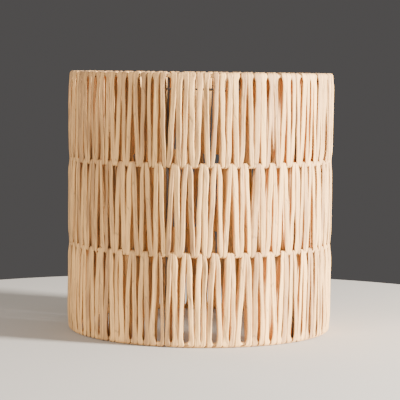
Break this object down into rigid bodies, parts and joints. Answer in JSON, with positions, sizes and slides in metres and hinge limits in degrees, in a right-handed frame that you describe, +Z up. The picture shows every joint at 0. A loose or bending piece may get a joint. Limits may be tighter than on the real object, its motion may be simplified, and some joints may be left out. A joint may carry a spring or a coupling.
{
  "type": "lamp shade",
  "caption": "Drum lamp shade: a wire frame with a recessed washer fitter, laced in tiers with flat natural leaf cord that leaves tapered gaps between its turns.",
  "frame": {"origin": "on the shade's axis, at the lowest point of the lacing on the bottom rim", "axes": "+Z up along the shade's axis; -Y faces the room, and one upright stands 16 degrees from +X towards +Y"},
  "size_m": [0.46, 0.46, 0.45],
  "materials": {
    "frame_wire": "dark brown satin paint on steel wire",
    "hub_metal": "dark brown satin paint on a steel washer",
    "rim_fibre": "dry matt natural leaf strip",
    "leaf_cord": "dry natural leaf cord with fine long fibres and a faint sheen"
  },
  "bodies": {
    "root": {"top_ring": "frame_wire", "upper_band_ring": "frame_wire", "lower_band_ring": "frame_wire", "bottom_ring": "frame_wire", "upright_1": "frame_wire", "upright_2": "frame_wire", "upright_3": "frame_wire", "upright_4": "frame_wire", "upright_5": "frame_wire", "upright_6": "frame_wire", "fitter_arm_1": "frame_wire", "fitter_arm_2": "frame_wire", "fitter_arm_3": "frame_wire", "fitter_hub": "hub_metal", "top_rim_wrap": "rim_fibre", "upper_band_wrap": "rim_fibre", "lower_band_wrap": "rim_fibre", "bottom_rim_wrap": "rim_fibre", "top_cord_1": "leaf_cord", "top_cord_2": "leaf_cord", "top_cord_3": "leaf_cord", "top_cord_4": "leaf_cord", "top_cord_5": "leaf_cord", "top_cord_6": "leaf_cord", "middle_cord_1": "leaf_cord", "middle_cord_2": "leaf_cord", "middle_cord_3": "leaf_cord", "middle_cord_4": "leaf_cord", "middle_cord_5": "leaf_cord", "middle_cord_6": "leaf_cord", "bottom_cord_1": "leaf_cord", "bottom_cord_2": "leaf_cord", "bottom_cord_3": "leaf_cord", "bottom_cord_4": "leaf_cord", "bottom_cord_5": "leaf_cord", "bottom_cord_6": "leaf_cord"}
  },
  "joints": []
}
